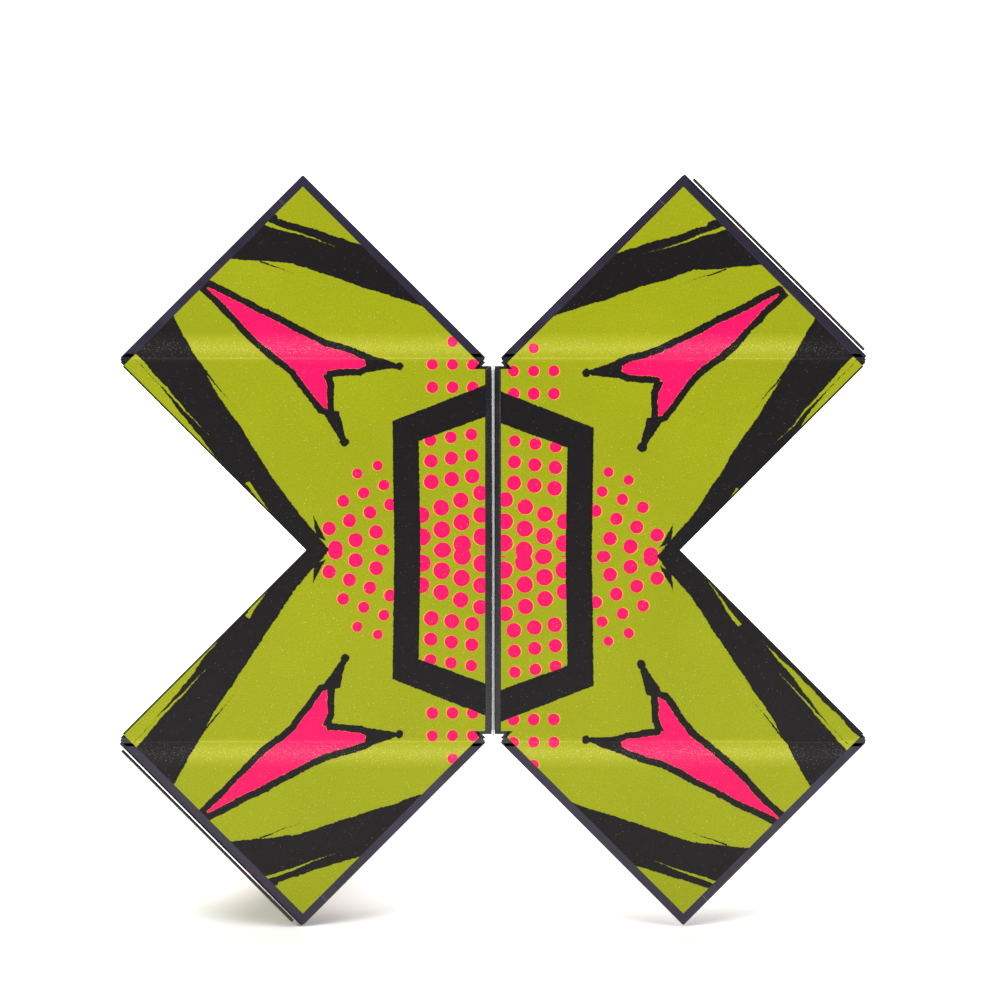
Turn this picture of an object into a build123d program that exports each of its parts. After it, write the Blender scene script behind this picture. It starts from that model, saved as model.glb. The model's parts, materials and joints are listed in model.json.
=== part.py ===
from build123d import *
import os
from math import sqrt

# A folding magnetic cube, opened out into an X and standing on edge.
# Twelve equal tetrahedra, each a twelfth of the cube: the outer face is half of a square
# cube face and the apex lies at the cube's centre. Printed film joins them edge to edge.
# +X is to the right of the X, +Z is up, and the printed front faces -Y.
# The origin is on the floor, under the middle of the whole object.

# Driving dimensions, in millimetres.
cube_edge = 58.0          # edge of the closed cube, and the leg of each outer face
face_gap = 0.3            # space left between two segments whose faces meet
film_thickness = 0.2      # printed film, on every face of a segment
wall_thickness = 1.3      # moulded wall behind the three inner faces
lid_thickness = 1.4       # flat plate that closes the mouth of a moulding
lid_fit = 0.1             # clearance between the lid and the sloping walls
edge_round = 0.3          # rounding on the outer edges of a segment
post_reach = 9.0          # corner posts under the lid, measured from the mouth's corners
magnet_diameter = 8.0
magnet_height = 3.0
magnet_fit = 0.15         # radial clearance of a magnet in its seat
seat_wall = 1.1           # wall of the ring that holds a magnet
seat_rise = 0.2           # how far that ring stands above the magnet
crease_radius = 0.15      # bead of film on a fold line
leaf_width = 4.0          # film leaf beside a fold line
crease_margin = 3.0       # film left off each end of a fold line
spine_lift = 0.2          # the middle fold stands this far in front of the outer faces
spine_width = 1.5         # film leaf beside the middle fold

# Values that follow from them.
half_gap = face_gap / 2
body_inset = half_gap + film_thickness
cavity_inset = body_inset + wall_thickness
lid_top = -body_inset
lid_bottom = lid_top - lid_thickness
half_diagonal = cube_edge / sqrt(2)
leaf_margin = crease_margin + leaf_width
seat_height = magnet_height + seat_rise
above_mouth = 0.2         # a cut is carried this far past the mouth to open it


def tetra(inner_inset, top):
    """One segment's tetrahedron, its inner faces moved in and its outer face at a height."""
    slope = inner_inset * sqrt(2)
    near = slope - top
    far = cube_edge - slope - near
    deep = (cube_edge - slope) / 2
    right_corner = (near, near, top)
    first_corner = (far, near, top)
    second_corner = (near, far, top)
    apex = (deep, deep, slope - deep)
    loops = [
        (right_corner, first_corner, second_corner),
        (right_corner, apex, first_corner),
        (right_corner, second_corner, apex),
        (first_corner, apex, second_corner),
    ]
    faces = [Face(Wire.make_polygon(loop, close=True)) for loop in loops]
    return Solid(Shell(faces))


def slab(low, high):
    """A block that spans a segment between two heights."""
    size = 3 * cube_edge
    return Pos(0, 0, (low + high) / 2) * Box(size, size, high - low)


def inner_face_planes():
    """A plane on the inside of each moulded wall, at the middle of that inner face."""
    sixth = cube_edge / 6
    middle = cube_edge / 2
    spots = [
        ((middle, sixth, -sixth), (0, 1, 1)),
        ((sixth, middle, -sixth), (1, 0, 1)),
        ((middle, middle, -sixth), (-1, -1, 0)),
    ]
    planes = []
    for centre, inward in spots:
        direction = Vector(inward).normalized()
        origin = Vector(centre) + direction * cavity_inset
        planes.append(Plane(origin=origin, z_dir=direction))
    return planes


def rounded_tetra(inner_inset, top):
    plain = tetra(inner_inset, top)
    return fillet(plain.edges(), radius=edge_round)


def make_shell():
    """The moulding: three inner walls, corner posts for the lid and a seat for each magnet."""
    body = rounded_tetra(body_inset, -body_inset)
    body -= tetra(cavity_inset, above_mouth)
    mouth = cavity_inset * sqrt(2) + body_inset
    long_side = cube_edge - cavity_inset * sqrt(2) - mouth
    inside = tetra(cavity_inset, lid_bottom)
    for corner in ((mouth, mouth), (long_side, mouth), (mouth, long_side)):
        body += inside & (Pos(corner[0], corner[1], 0) * Cylinder(post_reach, 2 * cube_edge))
    seat_radius = magnet_diameter / 2 + magnet_fit
    base = wall_thickness / 2
    upright = (Align.CENTER, Align.CENTER, Align.MIN)
    for plane in inner_face_planes():
        ring = Cylinder(seat_radius + seat_wall, seat_height + base, align=upright)
        hole = Cylinder(seat_radius, seat_height, align=upright)
        body += plane.location * (Pos(0, 0, -base) * ring)
        body -= plane.location * hole
    return body


def make_lid():
    """The flat plate that closes the mouth, with edges that follow the sloping walls."""
    return tetra(cavity_inset + lid_fit, lid_top) & slab(lid_bottom, lid_top)


def make_magnets():
    """Three disc magnets, one behind each inner face."""
    upright = (Align.CENTER, Align.CENTER, Align.MIN)
    disc = Cylinder(magnet_diameter / 2, magnet_height, align=upright)
    return [plane.location * disc for plane in inner_face_planes()]


def make_wrap():
    """Film over the three inner faces."""
    skin = rounded_tetra(half_gap, -half_gap) - rounded_tetra(body_inset, -body_inset)
    return skin & slab(-cube_edge, -body_inset)


def make_panel():
    """Film over the outer face."""
    return rounded_tetra(half_gap, -half_gap) & slab(-body_inset, 0)


def make_crease(length, lift, leaf):
    """Film on a fold line along X: a bead on the axis and a leaf beside it."""
    bead_length = length - 2 * crease_margin
    leaf_length = length - 2 * leaf_margin
    middle = length / 2
    bead = Pos(middle, 0, lift) * Rot(0, 90, 0) * Cylinder(crease_radius, bead_length)
    height = lift + half_gap
    strip = Pos(middle, leaf / 2, lift - height / 2) * Box(leaf_length, leaf, height)
    return bead + strip


def spot(across, up, back=0.0):
    """A corner of the flat pattern, counted in half diagonals and in depth."""
    return Vector(across * half_diagonal, back, up * half_diagonal)


# Each segment: the corners of its outer face, right-angled corner first, then the way that
# face looks and the fold lines whose film it carries. The two middle segments carry the film
# of the arm folds, so the arms stay clear of each other when the whole is folded in half.
front = Vector(0, -1, 0)
segments = {}
for side, across in (("left", -1), ("right", 1)):
    hub = spot(across, 0)
    notches = (spot(0, 1), spot(0, -1))
    folds = [(hub, notch) for notch in notches]
    segments["centre_" + side] = [hub, notches[0], notches[1], front, folds]
    for level, up in (("upper", 1), ("lower", -1)):
        notch = spot(0, up)
        corner = spot(2 * across, up)
        tip = spot(across, 2 * up)
        segments[level + "_" + side + "_arm"] = [hub, notch, corner, front, []]
        segments[level + "_" + side + "_tip"] = [tip, notch, corner, front, [(notch, corner)]]

# The last two are folded back behind a tip: each outer face is square to the front.
for name, across, up in (("lower_flap", -1, -1), ("upper_flap", 1, 1)):
    tip = spot(across, 2 * up)
    corner = spot(2 * across, up)
    behind = spot(across, 2 * up, cube_edge)
    outward = Vector(across, 0, up).normalized()
    segments[name] = [tip, corner, behind, outward, [(tip, corner)]]


def place(corners, outward):
    """Where a segment goes, its local X and Y along the two legs of its outer face."""
    first = corners[1] - corners[0]
    second = corners[2] - corners[0]
    if first.cross(second).dot(outward) < 0:
        first, second = second, first
    return Plane(origin=corners[0], x_dir=first, z_dir=outward).location


def place_crease(ends, corners, outward):
    """Where a fold line goes, with its leaf on the segment that it belongs to."""
    start, finish = ends
    centre = (corners[0] + corners[1] + corners[2]) / 3
    if outward.cross(finish - start).dot(centre - start) < 0:
        start, finish = finish, start
    return Plane(origin=start, x_dir=finish - start, z_dir=outward).location


shell = make_shell()
lid = make_lid()
magnets = make_magnets()
wrap = make_wrap()
panel = make_panel()

nodes = {}
for name, (right_corner, first, second, outward, folds) in segments.items():
    corners = (right_corner, first, second)
    location = place(corners, outward)
    face_film = location * panel
    for ends in folds:
        crease = make_crease((ends[1] - ends[0]).length, 0, leaf_width)
        face_film += place_crease(ends, corners, outward) * crease
    if name == "centre_right":
        spine = (first, second)
        crease = make_crease(2 * half_diagonal, spine_lift, spine_width)
        face_film += place_crease(spine, corners, outward) * crease
    nodes[name + "_shell"] = [location * shell]
    nodes[name + "_lid"] = [location * lid]
    nodes[name + "_magnets"] = [location * magnet for magnet in magnets]
    nodes[name + "_wrap"] = [location * wrap]
    nodes[name + "_face"] = [face_film]

# Stand the whole object on the floor, with the origin under its middle.
solids = [solid for group in nodes.values() for piece in group for solid in piece.solids()]
box = Compound(solids).bounding_box()
stand = Pos(-(box.min.X + box.max.X) / 2, -(box.min.Y + box.max.Y) / 2, -box.min.Z)
print("moved by", stand.position)

os.makedirs("parts", exist_ok=True)
for name, group in nodes.items():
    pieces = [stand * solid for piece in group for solid in piece.solids()]
    export_step(Compound(pieces) if len(pieces) > 1 else pieces[0], "parts/" + name + ".step")
    print(name, len(pieces))
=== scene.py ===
import bpy
import json
from math import radians, sqrt
from mathutils import Matrix, Vector

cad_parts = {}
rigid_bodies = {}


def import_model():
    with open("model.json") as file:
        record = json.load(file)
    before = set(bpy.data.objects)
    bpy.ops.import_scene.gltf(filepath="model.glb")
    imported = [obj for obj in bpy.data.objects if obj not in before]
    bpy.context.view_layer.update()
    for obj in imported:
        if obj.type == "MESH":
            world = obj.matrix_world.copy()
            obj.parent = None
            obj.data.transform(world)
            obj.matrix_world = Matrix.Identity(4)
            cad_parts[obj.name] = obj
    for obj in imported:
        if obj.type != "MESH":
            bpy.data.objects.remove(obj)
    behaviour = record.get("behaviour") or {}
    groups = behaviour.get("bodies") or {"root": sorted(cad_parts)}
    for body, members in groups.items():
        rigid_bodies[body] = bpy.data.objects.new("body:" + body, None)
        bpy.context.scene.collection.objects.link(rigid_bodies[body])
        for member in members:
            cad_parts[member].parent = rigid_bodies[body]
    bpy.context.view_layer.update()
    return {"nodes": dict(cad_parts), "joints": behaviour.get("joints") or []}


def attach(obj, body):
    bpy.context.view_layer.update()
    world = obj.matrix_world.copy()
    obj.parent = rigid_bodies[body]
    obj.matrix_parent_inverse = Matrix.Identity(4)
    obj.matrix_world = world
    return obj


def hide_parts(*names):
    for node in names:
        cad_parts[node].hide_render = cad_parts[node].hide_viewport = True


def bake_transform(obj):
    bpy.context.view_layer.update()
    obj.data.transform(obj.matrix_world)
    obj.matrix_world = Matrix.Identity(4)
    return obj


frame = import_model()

print("frame loaded,", len(frame["nodes"]), "nodes")

# Measures of the frame, in metres. Places on the flat pattern are counted in half diagonals.
joints = {joint["name"]: joint for joint in frame["joints"]}
upperFold = Vector(joints["upper_right_arm_fold"]["pos_m"])
lowerFold = Vector(joints["lower_right_arm_fold"]["pos_m"])
halfDiagonal = 2 * upperFold.x
cubeEdge = halfDiagonal * sqrt(2)
frontPlane = upperFold.y
middle = (upperFold.z + lowerFold.z) / 2
outOfFront = Vector((0, -1, 0))


def spot(across, up, back=0.0):
    return Vector((across * halfDiagonal, frontPlane + back, middle + up * halfDiagonal))


def localFrame(corner, first, second, outward):
    # Local X and Y run along the legs of the outer face, and local Z looks out of it.
    alongX = (first - corner).normalized()
    alongY = (second - corner).normalized()
    if alongX.cross(alongY).dot(outward) < 0:
        alongX, alongY = alongY, alongX
    turn = Matrix((alongX, alongY, outward)).transposed().to_4x4()
    return Matrix.Translation(corner) @ turn


def deselectAll():
    for thing in bpy.context.view_layer.objects:
        thing.select_set(False)


def makeActive(piece):
    deselectAll()
    piece.select_set(True)
    bpy.context.view_layer.objects.active = piece


def addBlock(name, low, high):
    deselectAll()
    centre = (Vector(low) + Vector(high)) / 2
    bpy.ops.mesh.primitive_cube_add(size=1, location=centre)
    block = bpy.context.object
    block.name = name
    block.data.name = name
    block.scale = Vector(high) - Vector(low)
    makeActive(block)
    bpy.ops.object.transform_apply(location=True, rotation=True, scale=True)
    return block


def cutOff(piece, point, outward):
    # Cuts away what lies on the outward side of a plane, and closes the cut.
    makeActive(piece)
    bpy.ops.object.mode_set(mode="EDIT")
    bpy.ops.mesh.select_all(action="SELECT")
    bpy.ops.mesh.bisect(plane_co=point, plane_no=outward, use_fill=True, clear_outer=True)
    bpy.ops.object.mode_set(mode="OBJECT")


def addCut(piece, point, across):
    # A loop of edges round the piece, along a plane across it.
    makeActive(piece)
    bpy.ops.object.mode_set(mode="EDIT")
    bpy.ops.mesh.select_all(action="SELECT")
    bpy.ops.mesh.bisect(plane_co=point, plane_no=across)
    bpy.ops.object.mode_set(mode="OBJECT")


def roundEdges(piece, width, segments, wanted=None):
    makeActive(piece)
    bpy.ops.object.mode_set(mode="EDIT")
    bpy.ops.mesh.select_mode(type="EDGE")
    bpy.ops.mesh.select_all(action="DESELECT")
    bpy.ops.object.mode_set(mode="OBJECT")
    for edge in piece.data.edges:
        ends = [piece.data.vertices[index].co for index in edge.vertices]
        edge.select = wanted is None or wanted(*ends)
    bpy.ops.object.mode_set(mode="EDIT")
    bpy.ops.mesh.bevel(offset=width, segments=segments, affect="EDGES")
    bpy.ops.object.mode_set(mode="OBJECT")


def smooth(piece, angle=50):
    # Rounded edges shade softly while the broad faces stay flat.
    makeActive(piece)
    bpy.ops.object.shade_smooth_by_angle(angle=radians(angle))
    bpy.ops.object.modifier_add(type="WEIGHTED_NORMAL")
    piece.modifiers[-1].keep_sharp = True
    bpy.ops.object.modifier_apply(modifier=piece.modifiers[-1].name)


def drawOn(piece, artMatrix):
    # The print's map holds millimetres across and up the flat pattern, from its centre.
    layer = piece.data.uv_layers.new(name="pattern")
    for loop in piece.data.loops:
        place = artMatrix @ piece.data.vertices[loop.vertex_index].co
        layer.data[loop.index].uv = (place.x * 1000, (place.z - middle) * 1000)


def moveTo(piece, matrix):
    piece.data.transform(matrix)
    piece.data.update()


def copyOf(piece, name):
    twin = piece.copy()
    twin.data = piece.data.copy()
    twin.name = name
    twin.data.name = name
    bpy.context.collection.objects.link(twin)
    return twin


# Each segment: the corners of its outer face, right-angled one first, the way that face looks,
# and what each side of it is: leg to the second corner, leg to the third, and the long side.
segments = {}
for side, across in (("left", -1), ("right", 1)):
    hub = spot(across, 0)
    segments["centre_" + side] = [hub, spot(0, 1), spot(0, -1), outOfFront,
                                  ("armFold", "armFold", "seam")]
    for level, up in (("upper", 1), ("lower", -1)):
        notch = spot(0, up)
        corner = spot(2 * across, up)
        tip = spot(across, 2 * up)
        name = level + "_" + side
        segments[name + "_arm"] = [hub, notch, corner, outOfFront, ("armFold", "armEdge", "tipFold")]
        segments[name + "_tip"] = [tip, notch, corner, outOfFront, ("tipEdge", "tipEdge", "tipFold")]
for name, across, up in (("lower_flap", -1, -1), ("upper_flap", 1, 1)):
    tip = spot(across, 2 * up)
    corner = spot(2 * across, up)
    behind = spot(across, 2 * up, cubeEdge)
    outward = Vector((across, 0, up)).normalized()
    segments[name] = [tip, corner, behind, outward, ("tipEdge", "tipEdge", "tipEdge")]


# Node helpers for the materials.


def newMaterial(name):
    material = bpy.data.materials.new(name)
    material.use_nodes = True
    tree = material.node_tree
    shader = tree.nodes["Principled BSDF"]
    return material, tree, shader


def feed(tree, socket, value):
    if isinstance(value, bpy.types.NodeSocket):
        tree.links.new(value, socket)
    elif value is not None:
        socket.default_value = value


def calc(tree, operation, first, second=None, third=None, clamp=False):
    node = tree.nodes.new("ShaderNodeMath")
    node.operation = operation
    node.use_clamp = clamp
    for socket, value in zip(node.inputs, (first, second, third)):
        feed(tree, socket, value)
    return node.outputs["Value"]


def vectorCalc(tree, operation, first, second=None, output="Vector"):
    node = tree.nodes.new("ShaderNodeVectorMath")
    node.operation = operation
    feed(tree, node.inputs[0], first)
    feed(tree, node.inputs[1], second)
    return node.outputs[output]


def joined(tree, x, y, z=1.0):
    node = tree.nodes.new("ShaderNodeCombineXYZ")
    for socket, value in zip(node.inputs, (x, y, z)):
        feed(tree, socket, value)
    return node.outputs["Vector"]


def parts(tree, vector):
    node = tree.nodes.new("ShaderNodeSeparateXYZ")
    feed(tree, node.inputs["Vector"], vector)
    return node.outputs["X"], node.outputs["Y"]


def patternPlace(tree):
    source = tree.nodes.new("ShaderNodeUVMap")
    source.uv_map = "pattern"
    return source.outputs["UV"]


def objectPlace(tree):
    return tree.nodes.new("ShaderNodeTexCoord").outputs["Object"]


def noise(tree, place, scale, detail=2.0, roughness=0.5, output="Fac"):
    node = tree.nodes.new("ShaderNodeTexNoise")
    feed(tree, node.inputs["Vector"], place)
    node.inputs["Scale"].default_value = scale
    node.inputs["Detail"].default_value = detail
    node.inputs["Roughness"].default_value = roughness
    return node.outputs[output]


def remap(tree, value, low, high, newLow, newHigh):
    node = tree.nodes.new("ShaderNodeMapRange")
    for socket, given in zip(node.inputs, (value, low, high, newLow, newHigh)):
        feed(tree, socket, given)
    return node.outputs["Result"]


def blendColour(tree, amount, first, second):
    # The colour sockets of a mix node are found by number, because its names repeat.
    factor, colourA, colourB, result = 0, 6, 7, 2
    node = tree.nodes.new("ShaderNodeMix")
    node.data_type = "RGBA"
    feed(tree, node.inputs[factor], amount)
    feed(tree, node.inputs[colourA], first)
    feed(tree, node.inputs[colourB], second)
    return node.outputs[result]


def bump(tree, shader, height, strength, distance, below=None):
    node = tree.nodes.new("ShaderNodeBump")
    node.inputs["Strength"].default_value = strength
    node.inputs["Distance"].default_value = distance
    feed(tree, node.inputs["Height"], height)
    feed(tree, node.inputs["Normal"], below)
    tree.links.new(node.outputs["Normal"], shader.inputs["Normal"])
    return node.outputs["Normal"]


# Drawing with signed distances, in millimetres and positive inside a shape.


def halfPlane(tree, place, start, finish):
    # Inside is to the left on the way from start to finish.
    run = Vector(finish) - Vector(start)
    normal = Vector((-run.y, run.x)).normalized()
    line = (normal.x, normal.y, -normal.dot(Vector(start)))
    return vectorCalc(tree, "DOT_PRODUCT", place, line, "Value")


def outline(tree, place, points):
    # A shape with straight sides that bulges everywhere, its corners given in order.
    area = 0.0
    for start, finish in zip(points, points[1:] + points[:1]):
        area += start[0] * finish[1] - finish[0] * start[1]
    if area < 0:
        points = points[::-1]
    inside = None
    for start, finish in zip(points, points[1:] + points[:1]):
        side = halfPlane(tree, place, start, finish)
        inside = side if inside is None else calc(tree, "MINIMUM", inside, side)
    return inside


def blob(tree, place, centre, radius):
    away = vectorCalc(tree, "DISTANCE", place, (centre[0], centre[1], 1.0), "Value")
    return calc(tree, "SUBTRACT", radius, away)


def either(tree, *shapes):
    whole = shapes[0]
    for shape in shapes[1:]:
        whole = calc(tree, "MAXIMUM", whole, shape)
    return whole


def both(tree, first, second):
    return calc(tree, "MINIMUM", first, second)


def without(tree, first, second):
    return calc(tree, "MINIMUM", first, calc(tree, "MULTIPLY", second, -1.0))


def grown(tree, shape, width):
    return calc(tree, "ADD", shape, width)


def inked(tree, shape, softness=0.1):
    return calc(tree, "MULTIPLY_ADD", shape, 1 / softness, 0.5, clamp=True)


def dotRows(tree, place, start, along, upward, region, radius, shrink):
    # Dots at start + i along + j upward. A dot shows whole when its middle is in the region.
    area = along[0] * upward[1] - along[1] * upward[0]
    rowOne = (upward[1] / area, -upward[0] / area)
    rowTwo = (-along[1] / area, along[0] / area)
    steps = []
    for row in (rowOne, rowTwo):
        line = (row[0], row[1], -(row[0] * start[0] + row[1] * start[1]))
        count = vectorCalc(tree, "DOT_PRODUCT", place, line, "Value")
        steps.append(calc(tree, "ROUND", count))
    centres = []
    for axis in (0, 1):
        partly = calc(tree, "MULTIPLY_ADD", steps[0], along[axis], start[axis])
        centres.append(calc(tree, "MULTIPLY_ADD", steps[1], upward[axis], partly))
    centre = joined(tree, centres[0], centres[1])
    away = vectorCalc(tree, "DISTANCE", place, centre, "Value")
    size = calc(tree, "MULTIPLY_ADD", centres[1], -shrink, radius)
    dot = calc(tree, "SUBTRACT", size, away)
    return both(tree, dot, outline(tree, centre, region))


def mirroredPlace(tree, shift):
    # Across and up the pattern from its centre, both made positive. The right half of the print
    # sits a little lower than the left, as on two sheets that were laid by hand.
    flat = patternPlace(tree)
    x, y = parts(tree, flat)
    onRight = calc(tree, "GREATER_THAN", x, 0.0)
    lowered = calc(tree, "MULTIPLY_ADD", onRight, shift, y)
    u = calc(tree, "ABSOLUTE", x)
    v = calc(tree, "ABSOLUTE", lowered)
    return joined(tree, u, v), flat, calc(tree, "ABSOLUTE", y)


def wobbled(tree, place, flat, amounts):
    for scale, amount in amounts:
        shake = noise(tree, flat, scale, 2.0, 0.5, "Color")
        centred = vectorCalc(tree, "SUBTRACT", shake, (0.5, 0.5, 0.5))
        step = vectorCalc(tree, "MULTIPLY", centred, (amount, amount, 0.0))
        place = vectorCalc(tree, "ADD", place, step)
    return place


printedInk = {
    "lime": (0.318, 0.345, 0.001, 1),
    "deepLime": (0.185, 0.22, 0.001, 1),
    # Lime of the painted highlight beside the tip folds.
    "paintedHighlightLime": (0.60, 0.58, 0.05, 1),
    "pink": (1.0, 0.001, 0.10, 1),
    "rim": (0.60, 0.47, 0.01, 1),
    "ink": (0.0042, 0.003, 0.0034, 1),
    "sheetShift": 1.4,
    "seamBand": 1.6,
    "edgeLine": 0.9,
    "dartOutline": 1.5,
    "dartMoved": (1.3, -1.2, 0.0),
    "rimMoved": (-0.14, 0.05, 0.0),
    # Pink and black lightened by the painted highlight at the tip folds.
    "paintedHighlightPink": (1.0, 0.25, 0.4, 1),
    "paintedHighlightInk": (0.3, 0.28, 0.3, 1),
    # Colour of the painted glints.
    "paintedGlint": (0.9, 0.9, 0.75, 1),
    "specular": 0.22,
}


def hexagonRing(tree, place):
    outer = both(tree, halfPlane(tree, place, (21.7, 27.8), (0, 36.3)),
                 halfPlane(tree, place, (21.3, 0), (21.7, 27.8)))
    inner = both(tree, halfPlane(tree, place, (16.0, 23.5), (0, 29.3)),
                 halfPlane(tree, place, (15.6, 0), (16.0, 23.5)))
    return without(tree, outer, inner)


def tipBand(tree, place):
    body = outline(tree, place, [(8, 50.2), (44.1, 61.9), (47.3, 72.3), (26, 65.1), (8, 59.4)])
    wide = outline(tree, place, [(43.6, 61.6), (64, 63.6), (52, 74.2), (46.5, 72.2)])
    gap = outline(tree, place, [(52.4, 72.3), (51.4, 70.9), (35.3, 66.0)])
    hair = outline(tree, place, [(43, 59.5), (50.2, 61.9), (50.4, 62.4)])
    return either(tree, without(tree, either(tree, body, wide), gap), hair)


def armBand(tree, place):
    # Everything between a curved inner line and the arm's outer edge, with slivers left open.
    body = either(tree, halfPlane(tree, place, (43, 9), (35.2, 0)),
                  halfPlane(tree, place, (60, 34.8), (43, 9)),
                  halfPlane(tree, place, (69.7, 52), (60, 34.8)))
    longGap = outline(tree, place, [(79.5, 45.4), (79.9, 44.0), (62.4, 26.0)])
    edgeGap = outline(tree, place, [(59.0, 19.0), (82, 41.9), (80, 44), (72.4, 36.2)])
    hubGap = outline(tree, place, [(46.0, 5.1), (53.4, 14.3), (52.6, 14.8)])
    hair = outline(tree, place, [(63.8, 41.2), (64.2, 40.6), (56.8, 32.4)])
    spike = outline(tree, place, [(38.8, 7.4), (36.0, 2.0), (38.4, 3.0)])
    slivers = either(tree, longGap, edgeGap, hubGap)
    return either(tree, without(tree, body, slivers), hair, spike)


def dartShapes(tree, place):
    place = vectorCalc(tree, "ADD", place, printedInk["dartMoved"])
    body = [(63.0, 55.3), (62.8, 55.6), (38.2, 43.0), (36.6, 40.4), (37.4, 36.6), (43.5, 37.2)]
    swell = [(58.8, 51.3), (50.4, 49.4), (44, 40), (43.5, 37.2), (50.4, 42.6), (54.2, 46.3)]
    upperFinger = [(38.4, 42.9), (31.4, 40.9), (29.0, 39.9), (28.8, 38.7), (30.2, 38.0), (38, 37.4)]
    lowerFinger = [(37.0, 40), (37.0, 34.0), (35.4, 30.2), (36.2, 28.8), (37.9, 29.4), (44, 37.6)]
    pink = either(tree, *[outline(tree, place, shape) for shape in
                          (body, swell, upperFinger, lowerFinger)])
    border = both(tree, grown(tree, pink, printedInk["dartOutline"]),
                  halfPlane(tree, place, (65.2, 56.0), (63.0, 57.2)))
    upperTail = outline(tree, place, [(32.5, 42.6), (22.0, 38.8), (22.0, 37.9), (32.5, 36.6)])
    lowerTail = outline(tree, place, [(39.0, 29.6), (33.9, 22.2), (32.9, 22.6), (34.4, 28.6)])
    ends = either(tree, blob(tree, place, (21.5, 38.3), 0.9), blob(tree, place, (33.3, 22.2), 1.0))
    return pink, either(tree, border, upperTail, lowerTail, ends)


def dotShapes(tree, place):
    nearCentre = dotRows(tree, place, (2.4, 2.9), (4.25, -1.58), (0.15, 4.7),
                         [(0.6, -2), (17.2, -2), (17.2, 9.4), (0.6, 15.4)], 1.95, 0.025)
    nearTop = dotRows(tree, place, (4.5, 15.9), (4.4, -0.6), (0.1, 4.5),
                      [(2, 14.6), (16.5, 12.6), (16.5, 24), (14, 26), (2, 27.5)], 2.15, 0.035)
    besideHexagon = dotRows(tree, place, (25.2, 3.9), (4.4, -1.72), (1.35, 4.2),
                            [(21.8, -1), (36.6, -1), (37.5, 5.6), (31, 18), (24, 20), (21.8, 11)],
                            1.62, 0.03)
    aboveHexagon = dotRows(tree, place, (4.4, 35.1), (4.35, 0.0), (0.0, 4.9),
                           [(2, 33.5), (15, 33.5), (15, 42), (10, 47), (2, 47)], 1.9, 0.017)
    return either(tree, nearCentre, nearTop, besideHexagon, aboveHexagon)


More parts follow.
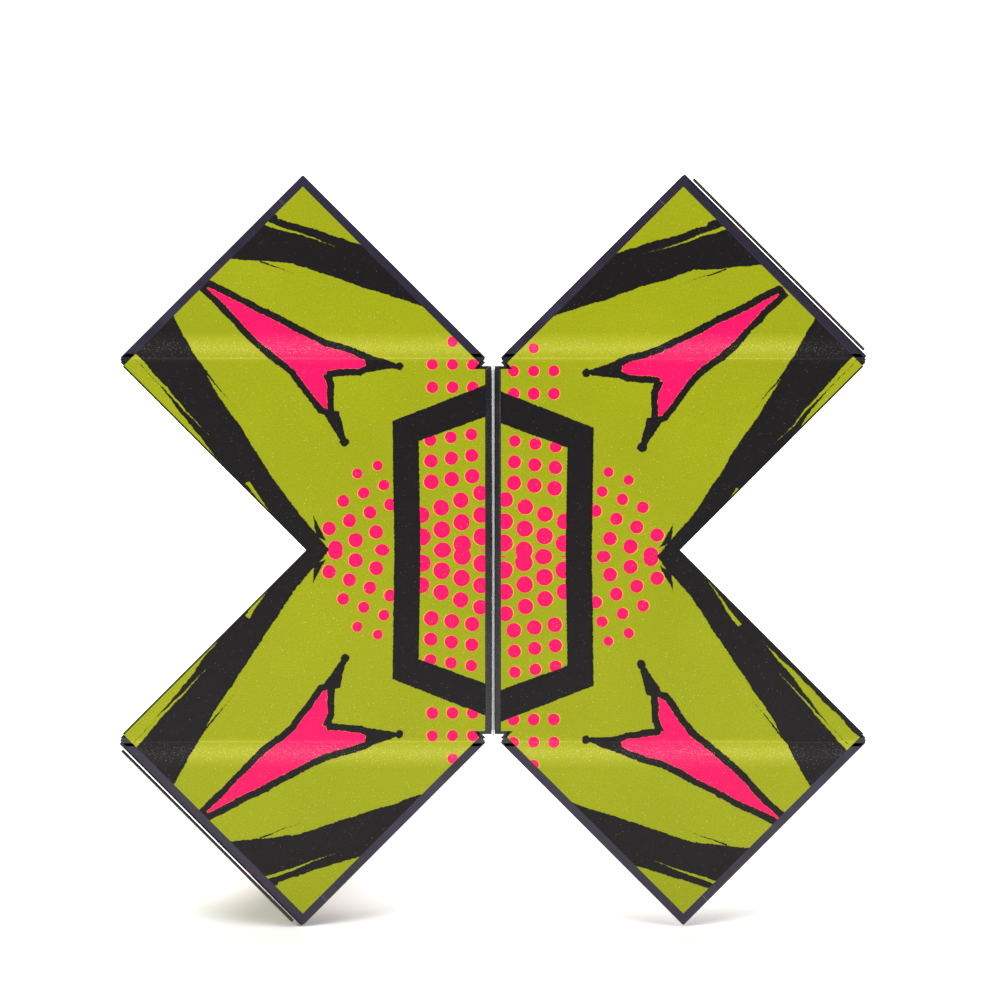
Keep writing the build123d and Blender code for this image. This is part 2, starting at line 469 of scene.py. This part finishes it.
def makePrintedFilm():
    material, tree, shader = newMaterial("printedFilm")
    place, flat, height = mirroredPlace(tree, printedInk["sheetShift"])
    handDrawn = wobbled(tree, place, flat, ((0.16, 1.1), (0.9, 0.35)))
    steady = wobbled(tree, place, flat, ((0.5, 0.3),))
    grain = noise(tree, flat, 2.6, 3.0, 0.7)
    cloud = noise(tree, flat, 0.035, 2.0, 0.5)

    base = blendColour(tree, remap(tree, grain, 0.35, 0.7, 0.0, 0.55),
                       printedInk["lime"], printedInk["deepLime"])
    base = blendColour(tree, remap(tree, cloud, 0.3, 0.7, 0.0, 0.25), base, printedInk["deepLime"])

    # The film is bent to and fro at the tip folds. Beside them a soft band of painted highlight is mixed into
    # the colour, and the same band raises a gentle bump.
    foldAt = halfDiagonal * 1000
    fromBand = calc(tree, "ABSOLUTE", calc(tree, "SUBTRACT", height, foldAt + 2.6))
    band = remap(tree, fromBand, 0.4, 3.4, 1.0, 0.0)
    fromFold = calc(tree, "ABSOLUTE", calc(tree, "SUBTRACT", height, foldAt + 0.3))
    crease = remap(tree, fromFold, 0.05, 0.35, 1.0, 0.0)
    pale = calc(tree, "MAXIMUM", calc(tree, "MULTIPLY", band, 0.4), calc(tree, "MULTIPLY", crease, 0.5))
    patchyPaintedHighlight = calc(tree, "MULTIPLY", pale, remap(tree, grain, 0.35, 0.65, 0.35, 1.2))
    base = blendColour(tree, patchyPaintedHighlight, base, printedInk["paintedHighlightLime"])

    dots = dotShapes(tree, steady)
    rimPlace = vectorCalc(tree, "ADD", steady, printedInk["rimMoved"])
    rims = dotShapes(tree, rimPlace)
    pinkDart, dartInk = dartShapes(tree, handDrawn)
    u = parts(tree, place)[0]
    seam = calc(tree, "SUBTRACT", printedInk["seamBand"], calc(tree, "ABSOLUTE", u))
    inFromEdge = calc(tree, "SUBTRACT", u, height)
    outerEdge = calc(tree, "ADD", inFromEdge, printedInk["edgeLine"] * sqrt(2) - foldAt)
    ring = hexagonRing(tree, steady)
    black = either(tree, ring, tipBand(tree, handDrawn), armBand(tree, handDrawn),
                   without(tree, dartInk, pinkDart), seam)
    rough = noise(tree, flat, 1.7, 3.0, 0.6)
    black = calc(tree, "ADD", black, calc(tree, "MULTIPLY_ADD", rough, 0.5, -0.25))
    black = either(tree, black, outerEdge)

    # The pink and black inks are lightened on the painted highlight band as well.
    pinkShade = blendColour(tree, calc(tree, "MULTIPLY", patchyPaintedHighlight, 0.25), printedInk["pink"],
                            printedInk["paintedHighlightPink"])
    blackShade = blendColour(tree, calc(tree, "MULTIPLY", patchyPaintedHighlight, 0.05), printedInk["ink"],
                             printedInk["paintedHighlightInk"])
    colour = blendColour(tree, inked(tree, rims), base, printedInk["rim"])
    colour = blendColour(tree, inked(tree, either(tree, dots, pinkDart)), colour, pinkShade)
    colour = blendColour(tree, inked(tree, black), colour, blackShade)

    # Painted glints: fine bright specks mixed into the colour, most of them on the painted highlight band.
    glintNoise = noise(tree, flat, 4.2, 0.0)
    threshold = remap(tree, band, 0.0, 1.0, 0.80, 0.71)
    glintMask = calc(tree, "MULTIPLY", calc(tree, "SUBTRACT", glintNoise, threshold), 30.0, clamp=True)
    share = calc(tree, "MULTIPLY_ADD", inked(tree, black), -0.28, 0.45)
    colour = blendColour(tree, calc(tree, "MULTIPLY", glintMask, share), colour, printedInk["paintedGlint"])
    tree.links.new(colour, shader.inputs["Base Color"])
    gloss = remap(tree, grain, 0.3, 0.7, 0.34, 0.5)
    tree.links.new(calc(tree, "SUBTRACT", gloss, calc(tree, "MULTIPLY", glintMask, 0.2)),
                   shader.inputs["Roughness"])
    shader.inputs["Specular IOR Level"].default_value = printedInk["specular"]
    swell = bump(tree, shader, pale, 0.5, 0.0004)
    bump(tree, shader, grain, 0.35, 0.00008, swell)
    return material


plumFilm = {
    "plum": (0.012, 0.009, 0.020, 1),
    "blue": (0.026, 0.021, 0.044, 1),
    "pink": (0.85, 0.006, 0.11, 1),
    "lime": (0.36, 0.38, 0.004, 1),
    # Colour of the painted glints.
    "paintedGlint": (0.6, 0.6, 0.7, 1),
    "specular": 0.4,
}


def makeDarkFilm():
    # Plum film on the inner faces, its print brushed in from the outer edges.
    material, tree, shader = newMaterial("darkFilm")
    flat = patternPlace(tree)
    along, rise = parts(tree, flat)
    grain = noise(tree, flat, 2.2, 3.0, 0.7)
    cloud = noise(tree, flat, 0.12, 3.0, 0.55)
    colour = blendColour(tree, remap(tree, cloud, 0.35, 0.65, 0.0, 1.0), plumFilm["plum"], plumFilm["blue"])

    shaken = wobbled(tree, joined(tree, calc(tree, "ABSOLUTE", along), rise), flat, ((0.25, 1.6), (1.1, 0.4)))
    limeShards = either(
        tree,
        outline(tree, shaken, [(3.2, 1.2), (9.4, 1.2), (1.2, 21.5)]),
        outline(tree, shaken, [(17.6, 1.4), (20.6, 1.6), (8.4, 15.6)]),
        outline(tree, shaken, [(13.4, 6.4), (14.2, 7.4), (4.8, 18.4)]),
    )
    pinkShards = either(
        tree,
        outline(tree, shaken, [(11.2, 1.2), (15.4, 1.2), (5.6, 15.0)]),
        outline(tree, shaken, [(22.4, 1.2), (24.2, 1.2), (17.0, 6.0)]),
    )
    shaped = joined(tree, along, rise)
    dots = dotRows(tree, shaped, (0.0, 18.0), (3.2, 1.0), (-1.0, 3.2),
                   [(0, 14.5), (11, 8), (9, 14), (0, 23), (-9, 14)], 1.9, 0.055)
    rough = calc(tree, "MULTIPLY_ADD", noise(tree, flat, 1.7, 3.0, 0.6), 0.5, -0.25)
    colour = blendColour(tree, inked(tree, dots), colour, plumFilm["pink"])
    colour = blendColour(tree, inked(tree, calc(tree, "ADD", limeShards, rough)), colour, plumFilm["lime"])
    colour = blendColour(tree, inked(tree, calc(tree, "ADD", pinkShards, rough)), colour, plumFilm["pink"])
    # Painted glints: fine bright specks mixed into the plum colour.
    glintNoise = noise(tree, flat, 3.1, 0.0)
    glintMask = calc(tree, "MULTIPLY", calc(tree, "SUBTRACT", glintNoise, 0.76), 25.0, clamp=True)
    colour = blendColour(tree, calc(tree, "MULTIPLY", glintMask, 0.4), colour, plumFilm["paintedGlint"])
    tree.links.new(colour, shader.inputs["Base Color"])
    tree.links.new(remap(tree, grain, 0.3, 0.7, 0.26, 0.4), shader.inputs["Roughness"])
    shader.inputs["Specular IOR Level"].default_value = plumFilm["specular"]
    bump(tree, shader, grain, 0.3, 0.00006)
    return material


blackFilm = {
    "black": (0.006, 0.006, 0.008, 1),
    "scuffed": (0.016, 0.015, 0.019, 1),
}


def makeHingeFilm():
    # Bare black film in the seams, glossier than the print and finely scuffed.
    material, tree, shader = newMaterial("hingeFilm")
    flat = patternPlace(tree)
    scuff = noise(tree, flat, 2.6, 3.0, 0.6)
    drift = noise(tree, flat, 0.16, 2.0)
    colour = blendColour(tree, remap(tree, drift, 0.35, 0.7, 0.0, 1.0),
                         blackFilm["black"], blackFilm["scuffed"])
    tree.links.new(colour, shader.inputs["Base Color"])
    tree.links.new(remap(tree, scuff, 0.3, 0.7, 0.16, 0.34), shader.inputs["Roughness"])
    bump(tree, shader, scuff, 0.15, 0.00004)
    return material


mouldedPlastic = {
    "shade": (0.66, 0.655, 0.63, 1),
    "light": (0.74, 0.735, 0.72, 1),
}


def makeMoulding():
    material, tree, shader = newMaterial("moulding")
    place = objectPlace(tree)
    skin = noise(tree, place, 3800.0, 3.0, 0.6)
    flow = noise(tree, place, 55.0, 2.0)
    colour = blendColour(tree, remap(tree, flow, 0.3, 0.7, 0.0, 1.0),
                         mouldedPlastic["shade"], mouldedPlastic["light"])
    tree.links.new(colour, shader.inputs["Base Color"])
    tree.links.new(remap(tree, skin, 0.3, 0.7, 0.42, 0.6), shader.inputs["Roughness"])
    bump(tree, shader, skin, 0.2, 0.00005)
    return material


platedMetal = {
    "shade": (0.62, 0.60, 0.56, 1),
    "light": (0.70, 0.69, 0.66, 1),
}


def makeNickel():
    material, tree, shader = newMaterial("nickelPlate")
    place = objectPlace(tree)
    tumble = noise(tree, place, 5200.0, 2.0, 0.6)
    stain = noise(tree, place, 240.0, 3.0)
    colour = blendColour(tree, remap(tree, stain, 0.35, 0.7, 0.0, 1.0),
                         platedMetal["shade"], platedMetal["light"])
    tree.links.new(colour, shader.inputs["Base Color"])
    tree.links.new(remap(tree, tumble, 0.3, 0.7, 0.16, 0.3), shader.inputs["Roughness"])
    shader.inputs["Metallic"].default_value = 1.0
    bump(tree, shader, tumble, 0.1, 0.00003)
    return material


printedFilm = makePrintedFilm()
darkFilm = makeDarkFilm()
hingeFilm = makeHingeFilm()
moulding = makeMoulding()
nickelPlate = makeNickel()
print("materials made")


def dress(piece, material, body):
    piece.data.materials.clear()
    piece.data.materials.append(material)
    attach(piece, body)


# The closed film body of a segment, with its inner faces set in from their neighbours.
bodyShape = {
    "faceGap": 0.00015,
    "wallGap": 0.00020,
    "filmStep": 0.00010,
    "rounding": 0.00042,
    "roundingSegments": 3,
}


def makeBody():
    gap = bodyShape["wallGap"]
    top = -bodyShape["faceGap"] - bodyShape["filmStep"]
    body = addBlock("body", (0, 0, -cubeEdge / 2), (cubeEdge, cubeEdge, top))
    cutOff(body, (0, gap * sqrt(2), 0), (0, -1, -1))
    cutOff(body, (gap * sqrt(2), 0, 0), (-1, 0, -1))
    cutOff(body, (cubeEdge - gap * sqrt(2), 0, 0), (1, 1, 0))
    roundEdges(body, bodyShape["rounding"], bodyShape["roundingSegments"])
    smooth(body)
    mapInnerFaces(body)
    return body


def mapInnerFaces(body):
    # Millimetres along each inner face's outer edge from its middle, and up from that edge.
    half = cubeEdge / 2
    faces = [
        (Vector((half, 0, 0)), Vector((1, 0, 0)), Vector((0, 1, -1)).normalized()),
        (Vector((0, half, 0)), Vector((0, -1, 0)), Vector((1, 0, -1)).normalized()),
        (Vector((half, half, 0)), Vector((-1, 1, 0)).normalized(), Vector((0, 0, -1))),
    ]
    layer = body.data.uv_layers.new(name="pattern")
    for polygon in body.data.polygons:
        looks = [abs(polygon.normal.dot(along.cross(rise))) for start, along, rise in faces]
        start, along, rise = faces[looks.index(max(looks))]
        facesOut = polygon.normal.z > 0.9
        for index in polygon.loop_indices:
            place = body.data.vertices[body.data.loops[index].vertex_index].co - start
            up = -1.0 if facesOut else place.dot(rise) * 1000
            layer.data[index].uv = (place.dot(along) * 1000, up)


firstBody = makeBody()
for name, (corner, first, second, outward, sides) in segments.items():
    piece = copyOf(firstBody, name + "_filmBody")
    moveTo(piece, localFrame(corner, first, second, outward))
    dress(piece, darkFilm, name)
    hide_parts(name + "_wrap")
bpy.data.objects.remove(firstBody)
print("film bodies made")


# The printed film on an outer face stops short of each side by a margin of its own.
panelShape = {
    "margins": {
        "armFold": 0.0016,
        "tipFold": 0.0020,
        "seam": 0.0017,
        "armEdge": 0.0005,
        "tipEdge": 0.0026,
    },
    "cornerRound": 0.00006,
    "cornerSegments": 2,
    "touching": 1e-6,
    "free": ("armEdge", "tipEdge"),
}


def sideMargins(corner, first, second, outward, sides):
    # In local order: the leg along X, the leg along Y, and the long side.
    matrix = localFrame(corner, first, second, outward)
    alongX = matrix.to_3x3() @ Vector((1, 0, 0))
    if alongX.dot(first - corner) < alongX.dot(second - corner):
        sides = (sides[1], sides[0], sides[2])
    return sides, [panelShape["margins"][side] for side in sides]


def makePanel(name, corner, first, second, outward, sides):
    gap = bodyShape["faceGap"]
    low = -gap - bodyShape["filmStep"]
    sides, margins = sideMargins(corner, first, second, outward, sides)
    panel = addBlock(name + "_print", (0, 0, low), (cubeEdge, cubeEdge, -gap))
    cutOff(panel, (0, margins[0], 0), (0, -1, 0))
    cutOff(panel, (margins[1], 0, 0), (-1, 0, 0))
    cutOff(panel, (cubeEdge - margins[2] * sqrt(2), 0, 0), (1, 1, 0))

    touching = panelShape["touching"]

    def onFreeSide(start, finish):
        if start.z < -gap - touching or finish.z < -gap - touching:
            return False
        onSides = (
            abs(start.y - margins[0]) + abs(finish.y - margins[0]) < touching,
            abs(start.x - margins[1]) + abs(finish.x - margins[1]) < touching,
            abs(start.x + start.y - finish.x - finish.y) < touching,
        )
        return any(on and side in panelShape["free"] for on, side in zip(onSides, sides))

    roundEdges(panel, panelShape["cornerRound"], panelShape["cornerSegments"], onFreeSide)
    return panel


flapArt = localFrame(*segments["upper_right_tip"][:4])
for name, (corner, first, second, outward, sides) in segments.items():
    panel = makePanel(name, corner, first, second, outward, sides)
    matrix = localFrame(corner, first, second, outward)
    drawOn(panel, flapArt if "flap" in name else matrix)
    smooth(panel)
    moveTo(panel, matrix)
    dress(panel, printedFilm, name)
    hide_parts(name + "_face")
print("printed panels made")


# Film that lies flat across a fold: the print runs on over it without a break, and the dark film
# under it shows at both ends, past the print.
foldShape = {
    "steps": 8,
    "smoothAngle": 60,
    "backing": {
        "armFold": 0.0013,
        "tipFold": 0.0013,
        "seam": 0.0003,
        "armEdge": 0.0011,
        "tipEdge": 0.0011,
    },
    "backingDepth": 0.00018,
}


def foldStrip(name, across, up, kind, margins, depth, material):
    reach = margins[kind]
    corner = spot(2 * across, up)
    hub = spot(across, 0)
    notch = spot(0, up)
    tip = spot(across, 2 * up)
    xs = sorted((0.0, 2 * across * halfDiagonal))
    zs = sorted((middle, middle + 2 * up * halfDiagonal))
    face, back = depth
    strip = addBlock(name, (xs[0], frontPlane + face, zs[0]), (xs[1], frontPlane + back, zs[1]))
    intoArm = Vector((across, 0, up)).normalized()
    outOfEdge = Vector((across, 0, -up)).normalized()
    if kind == "armFold":
        fold = hub
        line = intoArm
        towardsTip = Vector((0, 0, up))
        cutOff(strip, Vector((across * margins["seam"], 0, 0)), Vector((-across, 0, 0)))
        cutOff(strip, notch - towardsTip * margins["tipFold"], towardsTip)
        cutOff(strip, hub - outOfEdge * margins["armEdge"], outOfEdge)
    else:
        fold = notch
        line = Vector((0, 0, up))
        cutOff(strip, corner - outOfEdge * margins["armEdge"], outOfEdge)
        cutOff(strip, tip - intoArm * margins["tipEdge"], intoArm)
        cutOff(strip, notch + outOfEdge * margins["tipEdge"], -outOfEdge)
        cutOff(strip, notch + intoArm * margins["armFold"], -intoArm)
    cutOff(strip, fold + line * reach, line)
    cutOff(strip, fold - line * reach, -line)
    for step in range(1, foldShape["steps"]):
        share = 2 * step / foldShape["steps"] - 1
        addCut(strip, fold + line * (reach * share), line)
    drawOn(strip, Matrix.Identity(4))
    smooth(strip, foldShape["smoothAngle"])
    strip.data.materials.append(material)
    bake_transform(strip)


for side, across in (("left", -1), ("right", 1)):
    for level, up in (("upper", 1), ("lower", -1)):
        name = level + "_" + side
        face = bodyShape["faceGap"]
        back = face + bodyShape["filmStep"]
        layers = (("Film", panelShape["margins"], (face, back), printedFilm),
                  ("Backing", foldShape["backing"], (back, back + foldShape["backingDepth"]), hingeFilm))
        for layer, margins, depth, material in layers:
            foldStrip(name + "_armFold" + layer, across, up,
                      "armFold", margins, depth, material)
            foldStrip(name + "_tipFold" + layer, across, up,
                      "tipFold", margins, depth, material)
print("fold films made")


# The black film wrapped round the two halves at the middle seam, and the beads of film that
# stand for the hinges.
seamShape = {
    "width": 0.0014,
    "fromMiddle": 0.00028,
    "proud": 0.00012,
    "depth": 0.0007,
    "rounding": 0.00030,
    "roundingSegments": 4,
    "beadSides": 12,
    "beadRim": 0.00004,
    "beadRimSegments": 2,
    "beadRadius": 0.00014,
    "beadMargin": 0.0010,
    "lipMargin": 0.0014,
    "lipFoldGap": 0.0003,
    "flapBeadRadius": 0.00034,
    "flapBeadMargin": 0.0030,
}


def seamEdge(side, across):
    near = seamShape["fromMiddle"]
    far = near + seamShape["width"]
    xs = sorted((across * near, across * far))
    face = frontPlane + bodyShape["faceGap"]
    half = halfDiagonal - seamShape["lipMargin"]
    lip = addBlock("centre_" + side + "_seamEdge", (xs[0], face - seamShape["proud"], middle - half),
                   (xs[1], face + seamShape["depth"], middle + half))
    for up in (-1, 1):
        intoArm = Vector((across, 0, up)).normalized()
        cutOff(lip, spot(0, up) - intoArm * seamShape["lipFoldGap"], intoArm)
    roundEdges(lip, seamShape["rounding"], seamShape["roundingSegments"])
    smooth(lip)
    drawOn(lip, Matrix.Identity(4))
    dress(lip, hingeFilm, "centre_" + side)


def hingeBead(name, start, finish, body, radius, margin):
    deselectAll()
    run = finish - start
    length = run.length - 2 * margin
    bpy.ops.mesh.primitive_cylinder_add(vertices=seamShape["beadSides"], radius=radius, depth=length)
    bead = bpy.context.object
    bead.name = name
    bead.data.name = name

    def rim(first, second):
        return abs(first.z - second.z) < 1e-7 and abs(first.z) > length / 2 - 1e-6

    roundEdges(bead, seamShape["beadRim"], seamShape["beadRimSegments"], rim)
    smooth(bead)
    turn = run.to_track_quat("Z", "Y").to_matrix().to_4x4()
    moveTo(bead, Matrix.Translation((start + finish) / 2) @ turn)
    drawOn(bead, Matrix.Identity(4))
    dress(bead, hingeFilm, body)


for side, across in (("left", -1), ("right", 1)):
    seamEdge(side, across)
spine = Vector(joints["spine_fold"]["pos_m"])
lift = Vector((0, spine.y - frontPlane, 0))
hingeBead("spineHingeBead", spot(0, 1) + lift, spot(0, -1) + lift, "centre_right",
          seamShape["beadRadius"], seamShape["beadMargin"])
for level, up in (("lower", -1), ("upper", 1)):
    hingeBead(level + "FlapHingeBead", spot(up, 2 * up), spot(2 * up, up), level + "_flap",
              seamShape["flapBeadRadius"], seamShape["flapBeadMargin"])
print("seam and hinge beads made")

for nodeName, node in frame["nodes"].items():
    if nodeName.endswith("_magnets"):
        finish = nickelPlate
    elif nodeName.endswith("_shell") or nodeName.endswith("_lid"):
        finish = moulding
    else:
        continue
    node.data.materials.clear()
    node.data.materials.append(finish)
print("inner parts finished")


studio = {
    "cameraFront": 0.280,
    "cameraRise": 0.0164,
    "lens": 46.8,
    "shiftX": 0.006,
    "shiftY": -0.026,
    "floorSize": 8.0,
    "wallBehind": 1.6,
    "wallHeight": 3.0,
    "sweep": 1.0,
    "sweepSegments": 24,
    "floor": (0.86, 0.86, 0.85, 1),
    "floorLight": (0.89, 0.89, 0.88, 1),
    "world": (0.95, 0.97, 1.0, 1),
    "worldStrength": 0.22,
}


def makeFloor():
    # A pale sheet that sweeps up behind the object.
    deselectAll()
    size = studio["floorSize"]
    bpy.ops.mesh.primitive_plane_add(size=size, location=(0, studio["wallBehind"] - size / 2, 0))
    floor = bpy.context.object
    floor.name = "studioFloor"
    bpy.ops.object.transform_apply(location=True, rotation=True, scale=True)
    backEdge = studio["wallBehind"] - 0.01
    for edge in floor.data.edges:
        edge.select = all(floor.data.vertices[index].co.y > backEdge for index in edge.vertices)
    for vertex in floor.data.vertices:
        vertex.select = vertex.co.y > backEdge
    for polygon in floor.data.polygons:
        polygon.select = False
    bpy.ops.object.mode_set(mode="EDIT")
    bpy.ops.mesh.select_mode(type="EDGE")
    bpy.ops.mesh.extrude_region_move(TRANSFORM_OT_translate={"value": (0, 0, studio["wallHeight"])})
    bpy.ops.object.mode_set(mode="OBJECT")

    def foot(start, finish):
        return start.y > backEdge and finish.y > backEdge and max(start.z, finish.z) < 0.01

    roundEdges(floor, studio["sweep"], studio["sweepSegments"], foot)
    makeActive(floor)
    bpy.ops.object.shade_smooth()
    material, tree, shader = newMaterial("paleFloor")
    place = objectPlace(tree)
    mottle = noise(tree, place, 9.0, 2.0)
    colour = blendColour(tree, mottle, studio["floor"], studio["floorLight"])
    tree.links.new(colour, shader.inputs["Base Color"])
    shader.inputs["Roughness"].default_value = 0.8
    floor.data.materials.append(material)


def makeLamp(name, place, target, size, power, colour):
    data = bpy.data.lights.new(name, "AREA")
    data.shape = "RECTANGLE"
    data.size = size[0]
    data.size_y = size[1]
    data.energy = power
    data.color = colour
    lamp = bpy.data.objects.new(name, data)
    bpy.context.collection.objects.link(lamp)
    lamp.location = place
    lamp.rotation_euler = (Vector(target) - Vector(place)).to_track_quat("-Z", "Y").to_euler()


def makeCamera():
    data = bpy.data.cameras.new("camera")
    data.lens = studio["lens"]
    data.sensor_width = 36
    data.shift_x = studio["shiftX"]
    data.shift_y = studio["shiftY"]
    data.clip_start = 0.01
    camera = bpy.data.objects.new("camera", data)
    bpy.context.collection.objects.link(camera)
    camera.location = (0.0002, frontPlane - studio["cameraFront"], middle + studio["cameraRise"])
    camera.rotation_euler = (radians(90), 0, 0)
    bpy.context.scene.camera = camera


makeFloor()
target = (0, frontPlane, middle)
makeLamp("keyLight", (-0.75, -0.60, 0.70), target, (0.5, 0.5), 8.0, (1.0, 0.98, 0.95))
makeLamp("fillLight", (0.85, -0.50, 0.35), target, (0.6, 0.6), 5.0, (0.96, 0.98, 1.0))
makeLamp("topLight", (0.0, -0.25, 1.0), target, (0.7, 0.4), 5.0, (1.0, 1.0, 1.0))
makeLamp("wallLight", (0.0, 0.35, 1.3), (0, 1.5, 0.4), (1.6, 0.6), 45.0, (1.0, 1.0, 1.0))
world = bpy.data.worlds.new("paleRoom")
world.use_nodes = True
world.node_tree.nodes["Background"].inputs["Color"].default_value = studio["world"]
world.node_tree.nodes["Background"].inputs["Strength"].default_value = studio["worldStrength"]
bpy.context.scene.world = world
bpy.context.scene.view_settings.view_transform = "Standard"
makeCamera()
print("studio made")
